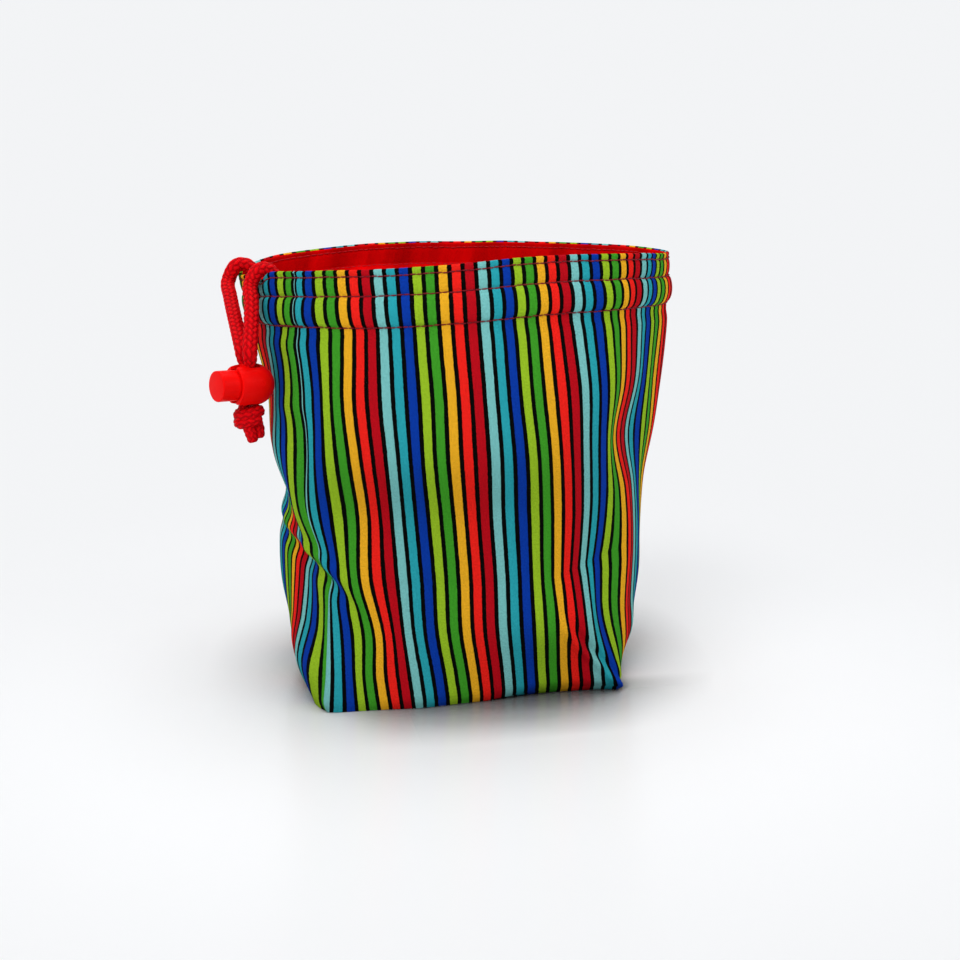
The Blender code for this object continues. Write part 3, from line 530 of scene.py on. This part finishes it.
def thread_row(at_u, at_h, lift, length, radius, face_of, sign):
    """Stitches as bowed strands: at each place, six-sided rings along the row, whose height over the
    cloth is a flat-topped arch that ends under the surface."""
    t = np.array([-0.5, -0.38, -0.18, 0.0, 0.18, 0.38, 0.5])
    uu = at_u[:, None] + t * length
    hh = np.broadcast_to(at_h[:, None], uu.shape)
    arch = lift * (1 - (2 * np.abs(t)) ** 4) - 0.12
    core = shift(uu, hh, face_of(uu, hh) + sign * arch)
    run = np.gradient(core, axis=1)
    run /= np.linalg.norm(run, axis=-1, keepdims=True)
    up = np.broadcast_to(np.array([0, 0, 1.0]), run.shape)
    out = np.cross(run, up)
    out /= np.linalg.norm(out, axis=-1, keepdims=True)
    a = np.arange(6) * math.pi / 3
    thick = radius * np.array([0.35, 0.85, 1, 1, 1, 0.85, 0.35])
    rings = core[:, :, None] + thick[None, :, None, None] * (np.cos(a)[:, None] * up[:, :, None]
                                                             + np.sin(a)[:, None] * out[:, :, None])
    n, m = rings.shape[:2]
    one = np.array(grid_faces(m, 6, closed=True))
    return rings.reshape(-1, 3), (one[None] + (np.arange(n) * m * 6)[:, None, None]).reshape(-1, 4)


rng = np.random.default_rng(7)
made = {1.0: ([], []), -1.0: ([], [])}
for row, first, last in ((0, 0.2, ROUND), (1, 0.1, ROUND), (2, 0.3, ROUND), (2, ROUND - 2.6, ROUND + 1.2)):
    at_u = np.arange(first, last, STITCH)
    at_h = ROWS[row] + rng.normal(0, 0.10, at_u.size) + (0.35 if last - first < 10 else 0.0)
    for face_of, sign in ((outer_face, 1.0), (lining_face, -1.0)):
        points, quads = thread_row(at_u + (0 if sign > 0 else STITCH / 2), at_h, 0.45, STITCH * 0.98, 0.31,
                                   face_of, sign)
        made[sign][1].append(quads + sum(len(p) for p in made[sign][0]))
        made[sign][0].append(points)

# Buttonholes: two short upright slits in the lining, where the cord's ends come out of the channel, their
# edges bound with close stitches laid across.
HOLE_AT = (-8.9, -4.8)  # stripes
HOLE_HIGH = 183.6       # cloth height of their middle, mm
HOLE_STITCHES = 46
for hole in HOLE_AT:
    around = np.arange(HOLE_STITCHES) * 2 * math.pi / HOLE_STITCHES
    ends = []
    for size in (0.92, 1.22):
        uu = hole + size * 4.1 * np.cos(around) / STRIPE
        hh = HOLE_HIGH + size * 4.1 * np.sin(around)
        ends.append(shift(uu, hh, lining_face(uu, hh) - 0.12))
    t = np.linspace(0, 1, 5)[None, :, None]
    core = ends[0][:, None] * (1 - t) + ends[1][:, None] * t
    out = wall(np.array(hole), np.array(HOLE_HIGH))[1]
    core[..., :2] -= out * (0.5 * np.sin(math.pi * t))
    run = core[:, -1] - core[:, 0]
    run /= np.linalg.norm(run, axis=1, keepdims=True)
    inward = np.array([-out[0], -out[1], 0.0])
    beside = np.cross(run, inward)
    a = np.arange(6) * math.pi / 3
    rings = core[:, :, None] + 0.3 * (np.cos(a)[:, None] * beside[:, None, None] + np.sin(a)[:, None] * inward)
    quads = np.array(grid_faces(5, 6, closed=True))[None] + (np.arange(HOLE_STITCHES) * 5 * 6)[:, None, None]
    made[-1.0][1].append(quads.reshape(-1, 4) + sum(len(p) for p in made[-1.0][0]))
    made[-1.0][0].append(rings.reshape(-1, 3))

for sign, name, body_slot, low_dye, high_dye in (
        (1.0, "topstitching", "striped_cotton", (0.10, 0.001, 0.007), (0.24, 0.003, 0.012)),
        (-1.0, "inner_stitching", "lining_cotton", (0.36, 0.0, 0.003), (0.60, 0.002, 0.008))):
    thread = piece(name, world_of(np.concatenate(made[sign][0])), np.concatenate(made[sign][1]).tolist(), "bag",
                   ())
    spun = bpy.data.materials.new(name + "_thread")
    spun.use_nodes = True
    tree = spun.node_tree
    skin = tree.nodes["Principled BSDF"]
    skin.inputs["Roughness"].default_value = 0.55
    skin.inputs["Specular IOR Level"].default_value = 0.2
    spot = wire(tree, "ShaderNodeTexCoord").outputs["Object"]
    twist = wire(tree, "ShaderNodeTexNoise", in_Vector=spot, in_Scale=1800.0, in_Detail=2.0)
    dye = wire(tree, "ShaderNodeMix", data_type="RGBA", in_0=twist.outputs[0], in_6=(*low_dye, 1),
               in_7=(*high_dye, 1))
    tree.links.new(dye.outputs[2], skin.inputs["Base Color"])
    thread.data.materials.append(spun)

# Drawcord: one round cord of polyester, braided from sixteen bundles, eight each way. Both ends leave the
# channel by a buttonhole in the lining, pass over the rim's left end and hang down through the cord lock.
CORD = 3.45            # radius, mm
LOCK = np.array([-93.8, -42.5, 146.8])
AXIS = np.array([-0.777, -0.629, 0.06])
AXIS = AXIS / np.linalg.norm(AXIS)
ACROSS = np.cross([0, 0, 1.0], AXIS)
ACROSS = ACROSS / np.linalg.norm(ACROSS)
UP = np.cross(AXIS, ACROSS)


def at_lock(p):
    """From the lock's own frame (along the plunger, across, up), in mm, to the plan as seen."""
    p = np.asarray(p, float)
    return LOCK + p[..., :1] * AXIS + p[..., 1:2] * ACROSS + p[..., 2:3] * UP


def evenly(points, step):
    """Smooth cubic through the points, spaced by the square root of their distances, re-read at equal
    steps along its length in mm."""
    points = np.asarray(points, float)
    knots = np.concatenate([[0], np.cumsum(np.linalg.norm(np.diff(points, axis=0), axis=1) ** 0.5)])
    fine = curve(knots, points, np.linspace(0, knots[-1], 900))
    run = np.concatenate([[0], np.cumsum(np.linalg.norm(np.diff(fine, axis=0), axis=1))])
    q = np.linspace(0, run[-1], int(run[-1] / step) + 2)
    return np.stack([np.interp(q, run, fine[:, n]) for n in range(3)], 1), q


def braid(path, run, radius, refer, sides=80, strands=8, pitch=2.9, depth=0.6):
    """Skin of a braided cord. The two bundle directions number the skin by a = n turns + run/pitch and
    b = n turns - run/pitch. Where the whole parts of a and b add to 0 or 1 of 4 the first direction lies
    on top, otherwise the second, and each bundle is an arch across its width that dips at both ends of
    its two-cell float. Returns the ring points and, as UV, the place across and along the bundle."""
    turn = np.arange(sides + 1) / sides
    a = strands * turn[None] + run[:, None] / pitch
    b = strands * turn[None] - run[:, None] / pitch
    i, j = np.floor(a + 1e-9), np.floor(b + 1e-9)
    k = (i + j) % 4
    first = k < 2
    across = np.where(first, a - i, b - j)
    along = np.where(first, (k + b - j) / 2, (k - 2 + a - i) / 2)
    bump = np.sqrt(np.clip(1 - (1.85 * (across - 0.5)) ** 2, 0, 1))
    bump = bump * np.clip(np.sin(math.pi * along), 0, 1) ** 0.45
    r = radius[:, None] - depth * (1 - bump) * (radius[:, None] / CORD)
    tangent = np.gradient(path, axis=0)
    tangent /= np.linalg.norm(tangent, axis=1, keepdims=True)
    side = refer - tangent * np.sum(tangent * refer, axis=1, keepdims=True)
    side /= np.linalg.norm(side, axis=1, keepdims=True)
    other = np.cross(tangent, side)
    angle = 2 * math.pi * turn
    points = path[:, None] + r[..., None] * (np.cos(angle)[None, :, None] * side[:, None]
                                             + np.sin(angle)[None, :, None] * other[:, None])
    return points, np.stack([across, along], -1)


def cord_mesh(name, path, run, radius, refer, body, stands_for, **more):
    """A braided skin as a piece, its two ends closed by a fan, with the bundle UV as a vertex map."""
    points, uv = braid(path, run, radius, refer, **more)
    rows, cols = points.shape[:2]
    ends = np.stack([path[0], path[-1]])
    faces = [f[::-1] for f in grid_faces(rows, cols)]
    faces += [(rows * cols, c, c + 1) for c in range(cols - 1)]
    last = (rows - 1) * cols
    faces += [(rows * cols + 1, last + c + 1, last + c) for c in range(cols - 1)]
    obj = piece(name, world_of(np.concatenate([points.reshape(-1, 3), ends])), faces, body, stands_for)
    lay_uv(obj, np.concatenate([uv.reshape(-1, 2), np.full((2, 2), 0.5)]))
    return obj


yarn = bpy.data.materials.new("braided_red")
yarn.use_nodes = True
tree = yarn.node_tree
skin = tree.nodes["Principled BSDF"]
skin.inputs["Roughness"].default_value = 0.5
skin.inputs["Specular IOR Level"].default_value = 0.04
place = wire(tree, "ShaderNodeUVMap", uv_map="cloth").outputs[0]
apart = wire(tree, "ShaderNodeSeparateXYZ", in_0=place)
ply = wire(tree, "ShaderNodeMath", operation="SINE", in_0=wire(
    tree, "ShaderNodeMath", operation="MULTIPLY", in_0=apart.outputs[0], in_1=2 * math.pi * 5).outputs[0])
# Painted shade: the cord's colour darkens towards each bundle's edges and ends, in the grooves between bundles,
# on top of the real dips in the braid's shape. The dark end of the mix below stands for that shade, and the
# fuzz noise adds a random tone.
edge = wire(tree, "ShaderNodeMath", operation="PINGPONG", in_0=apart.outputs[0], in_1=0.5)
tip = wire(tree, "ShaderNodeMath", operation="PINGPONG", in_0=apart.outputs[1], in_1=0.5)
depth_of = wire(tree, "ShaderNodeMath", operation="MINIMUM", in_0=edge.outputs[0], in_1=tip.outputs[0])
painted_groove_shade = wire(tree, "ShaderNodeMapRange", in_0=depth_of.outputs[0], in_1=0.02, in_2=0.26, in_3=0.0, in_4=1.0)
fuzz = wire(tree, "ShaderNodeTexNoise", in_Scale=1500.0, in_Detail=2.0,
            in_Vector=wire(tree, "ShaderNodeTexCoord").outputs["Object"])
fuzz_and_painted_groove_shade = wire(tree, "ShaderNodeMath", operation="MULTIPLY_ADD", in_0=fuzz.outputs[0], in_1=0.35,
            in_2=wire(tree, "ShaderNodeMath", operation="MULTIPLY", in_0=painted_groove_shade.outputs[0], in_1=0.75).outputs[0])
dye = wire(tree, "ShaderNodeMix", data_type="RGBA", in_0=fuzz_and_painted_groove_shade.outputs[0], in_6=(0.13, 0.0, 0.001, 1),
           in_7=(0.82, 0.001, 0.005, 1))
tree.links.new(dye.outputs[2], skin.inputs["Base Color"])
ridges = wire(tree, "ShaderNodeBump", in_Strength=0.5, in_Distance=0.00005, in_Height=ply.outputs[0])
tree.links.new(ridges.outputs[0], skin.inputs["Normal"])

for name, hole, over, hang, across in (("cord_run_left", HOLE_AT[0], -9.2, (-107.5, -9.5, 181.0), -1.0),
                                       ("cord_run_right", HOLE_AT[1], -4.9, (-94.6, -31.0, 181.0), 1.0)):
    throat = at_lock([[3.5, across * 3.35, 14.5], [3.1, across * 2.9, 11.0], [3.0, across * 2.2, 8.4],
                      [3.0, across * 1.9, 5.6], [3.0, across * 1.9, 0.0], [3.0, across * 2.0, -8.6]])
    route = np.vstack([shift(hole, HOLE_HIGH, np.array(-6.6)), shift(hole, HOLE_HIGH + 0.6, np.array(-10.2)),
                       shift(0.5 * (hole + over), 190, np.array(-12.2)), shift(over, 197.5, np.array(-8.6)),
                       shift(over, RIM, np.array(-4.0), 4.9), shift(over, RIM, np.array(1.2), 5.2),
                       shift(over, 197.5, np.array(5.8)), np.array(hang), throat])
    path, run = evenly(route, 0.28)
    above = path[:, 2] - LOCK[2]
    radius = np.where(np.arange(len(path)) < len(path) // 2, CORD,
                      np.interp(above, [-8, 6.0, 8.4, 10.8, 14.0], [1.5, 1.6, 2.3, 3.0, CORD]))
    outward = wall(np.array(over), np.array(195.0))[1]
    cord = cord_mesh(name + "_braid", path, run, radius, np.array([-outward[1], outward[0], 0.0]), "bag",
                     (name,))
    cord.data.materials.append(yarn)

# Stopper knot: both ends tied together in one overhand knot under the lock, and cut short.
knot_at = at_lock([3.0, 0.0, 0.0]) + np.array([0, 0, -14.0])
t = np.linspace(0, 1, 30)
wrap_angle = 2 * math.pi * (1.55 * t + 0.40)
wrap_route = knot_at + np.stack([4.3 * np.cos(wrap_angle) + 0.6, 3.2 * np.sin(wrap_angle),
                                 2.3 - 5.0 * t + 1.7 * np.cos(wrap_angle)], 1)
path, run = evenly(wrap_route, 0.28)
wrap = cord_mesh("knot_wrap", path, run, np.full(len(path), 2.9), np.array([0, 0, 1.0]), "bag",
                 ("stopper_knot",), sides=64, pitch=2.6)
tails = []
for name, route in (("knot_tail_front", [(-1.8, 0.6, 4.6), (-1.6, -0.2, 1.0), (0.2, -1.8, -4.0),
                                         (1.6, -2.3, -7.8), (2.4, -2.5, -11.6)]),
                    ("knot_tail_back", [(1.8, 0.4, 4.6), (2.6, 0.8, 0.0), (3.9, 0.8, -4.0), (4.6, 0.2, -7.2),
                                        (4.9, -0.1, -10.2)])):
    path, run = evenly(knot_at + np.array(route), 0.28)
    size = np.interp(run, [0, 3, run[-1] - 4.0, run[-1] - 0.8, run[-1]], [2.3, 2.6, 2.9, 2.4, 1.8])
    tails.append(cord_mesh(name, path, run, size, np.array([1.0, 0, 0]), "bag", ("stopper_knot",),
                           sides=64, pitch=2.6))
for obj in [wrap] + tails:
    obj.data.materials.append(yarn)

# Cord lock: a ball of red plastic with a flat-faced plunger, both bored across for the two cord runs, and
# a small coil spring behind the plunger that grips the cords.
def revolved(name, profile, sides, body, stands_for):
    """Solid of revolution about the plunger's axis: each profile point (along, radius) is carried round
    in even steps, and the two end points lie on the axis."""
    profile = np.asarray(profile, float)
    a = np.arange(sides) * 2 * math.pi / sides
    mid = profile[1:-1]
    rings = np.stack([np.broadcast_to(mid[:, :1], (len(mid), sides)), mid[:, 1:] * np.cos(a),
                      mid[:, 1:] * np.sin(a)], -1)
    points = np.concatenate([rings.reshape(-1, 3), [[profile[0, 0], 0, 0], [profile[-1, 0], 0, 0]]])
    last = (len(mid) - 1) * sides
    faces = [f[::-1] for f in grid_faces(len(mid), sides, closed=True)]
    faces += [(len(points) - 2, (k + 1) % sides, k) for k in range(sides)]
    faces += [(len(points) - 1, last + k, last + (k + 1) % sides) for k in range(sides)]
    return piece(name, world_of(at_lock(points)), faces, body, stands_for)


def bored(obj, boxes):
    """Cuts slots with rounded corners out of a solid: each cutter is a box with a bevelled edge, and the
    result is kept as the mesh."""
    helpers = []
    for low, high in boxes:
        corner = np.array([(x, y, z) for z in (low[2], high[2]) for y in (low[1], high[1])
                           for x in (low[0], high[0])])
        mesh = bpy.data.meshes.new("cutter")
        mesh.from_pydata(world_of(at_lock(corner)).tolist(), [],
                         [(0, 2, 3, 1), (4, 5, 7, 6), (0, 1, 5, 4), (2, 6, 7, 3), (0, 4, 6, 2), (1, 3, 7, 5)])
        tool = bpy.data.objects.new("cutter", mesh)
        bpy.context.scene.collection.objects.link(tool)
        soft = tool.modifiers.new("round", "BEVEL")
        soft.width, soft.segments = 0.0009, 4
        cut = obj.modifiers.new("slot", "BOOLEAN")
        cut.operation, cut.solver, cut.object = "DIFFERENCE", "EXACT", tool
        helpers.append(tool)
    done = bpy.data.meshes.new_from_object(obj.evaluated_get(bpy.context.evaluated_depsgraph_get()))
    obj.modifiers.clear()
    obj.data = done
    for tool in helpers:
        bpy.data.objects.remove(tool)
    done.polygons.foreach_set("use_smooth", np.ones(len(done.polygons), bool))
    done.set_sharp_from_angle(angle=math.radians(38))


def rounded(points, radius, steps=5):
    """A profile with each inner corner replaced by a short parabola that starts and ends a radius away."""
    points = np.asarray(points, float)
    out = [points[:1]]
    for before, here, after in zip(points[:-2], points[1:-1], points[2:]):
        one, two = before - here, after - here
        d = min(radius, 0.45 * np.linalg.norm(one), 0.45 * np.linalg.norm(two))
        p, q = here + one / np.linalg.norm(one) * d, here + two / np.linalg.norm(two) * d
        t = np.linspace(0, 1, steps)[:, None]
        out.append((1 - t) ** 2 * p + 2 * t * (1 - t) * here + t**2 * q)
    return np.concatenate(out + [points[-1:]])


belly = np.radians(np.linspace(88, -2, 26))
ball_back = np.stack([0.5 - 10.1 * np.sin(belly), 9.5 * np.cos(belly) ** 0.86], 1)
front = [(4.0, 9.42), (7.4, 8.95), (9.5, 8.55), (9.5, 7.25), (-6.5, 7.25), (-6.5, 0)]
housing = revolved("lock_ball", np.concatenate([[(-9.6, 0)], ball_back, rounded(front, 0.45)]), 96, "lock",
                   ("lock_housing",))
bored(housing, [((-1.6, -4.7, -12), (4.6, 4.7, 12)), ((5.2, -2.3, 5.0), (13, 2.3, 12)),
                ((5.2, -2.3, -12), (13, 2.3, -5.0))])
button = revolved("lock_button", rounded([(-1.4, 0), (-1.4, 6.85), (18.2, 6.85), (18.2, 0)], 0.6), 80,
                  "plunger", ("lock_plunger",))
bored(button, [((1.4, -4.7, -12), (7.6, 4.7, 12))])

# Mould mark: the small raised disc that the mould leaves on the ball's side.
BALL_SIDE = 9.35       # radius there, mm
turn = np.arange(25) * math.pi / 12
disc = np.array([(1.5, -0.25), (1.45, 0.10), (1.15, 0.16), (1.05, 0.02), (0.5, 0.0), (0.4, 0.12), (0.0, 0.14)])
radial = np.array([0.0, math.cos(0.18), math.sin(0.18)])
spot_on = BALL_SIDE * radial
along, aside = np.array([1.0, 0, 0]), np.cross([1.0, 0, 0], radial)
mark = (spot_on + disc[:, None, 1:] * radial
        + disc[:, None, :1] * (np.cos(turn)[None, :, None] * along + np.sin(turn)[None, :, None] * aside))
mould_mark = piece("lock_mould_mark", world_of(at_lock(mark)), grid_faces(7, 25), "lock", ())

plastic = bpy.data.materials.new("satin_red_plastic")
plastic.use_nodes = True
tree = plastic.node_tree
skin = tree.nodes["Principled BSDF"]
skin.inputs["Roughness"].default_value = 0.38
skin.inputs["Specular IOR Level"].default_value = 0.05
spot = wire(tree, "ShaderNodeTexCoord").outputs["Object"]
cloud = wire(tree, "ShaderNodeTexNoise", in_Vector=spot, in_Scale=220.0, in_Detail=3.0)
tint = wire(tree, "ShaderNodeMix", data_type="RGBA", in_0=cloud.outputs[0], in_6=(0.80, 0.0005, 0.0005, 1),
            in_7=(0.92, 0.003, 0.002, 1))
tree.links.new(tint.outputs[2], skin.inputs["Base Color"])
spark = wire(tree, "ShaderNodeTexNoise", in_Vector=spot, in_Scale=5200.0, in_Detail=2.0)
eroded = wire(tree, "ShaderNodeBump", in_Strength=0.12, in_Distance=0.00003, in_Height=spark.outputs[0])
tree.links.new(eroded.outputs[0], skin.inputs["Normal"])
for obj in (housing, button, mould_mark):
    obj.data.materials.append(plastic)
steel = bpy.data.materials.new("spring_wire")
steel.use_nodes = True
tree = steel.node_tree
skin = tree.nodes["Principled BSDF"]
skin.inputs["Metallic"].default_value = 1.0
skin.inputs["Base Color"].default_value = (0.62, 0.62, 0.64, 1)
rubbed = wire(tree, "ShaderNodeTexNoise", in_Scale=900.0, in_Vector=wire(
    tree, "ShaderNodeTexCoord").outputs["Object"])
tree.links.new(wire(tree, "ShaderNodeMapRange", in_0=rubbed.outputs[0], in_3=0.22, in_4=0.4).outputs[0],
               skin.inputs["Roughness"])
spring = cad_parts["lock_spring"]
spring.data.materials.clear()
spring.data.materials.append(steel)
hidden_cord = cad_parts["drawcord_in_channel"]
hidden_cord.data.materials.clear()
hidden_cord.data.materials.append(yarn)
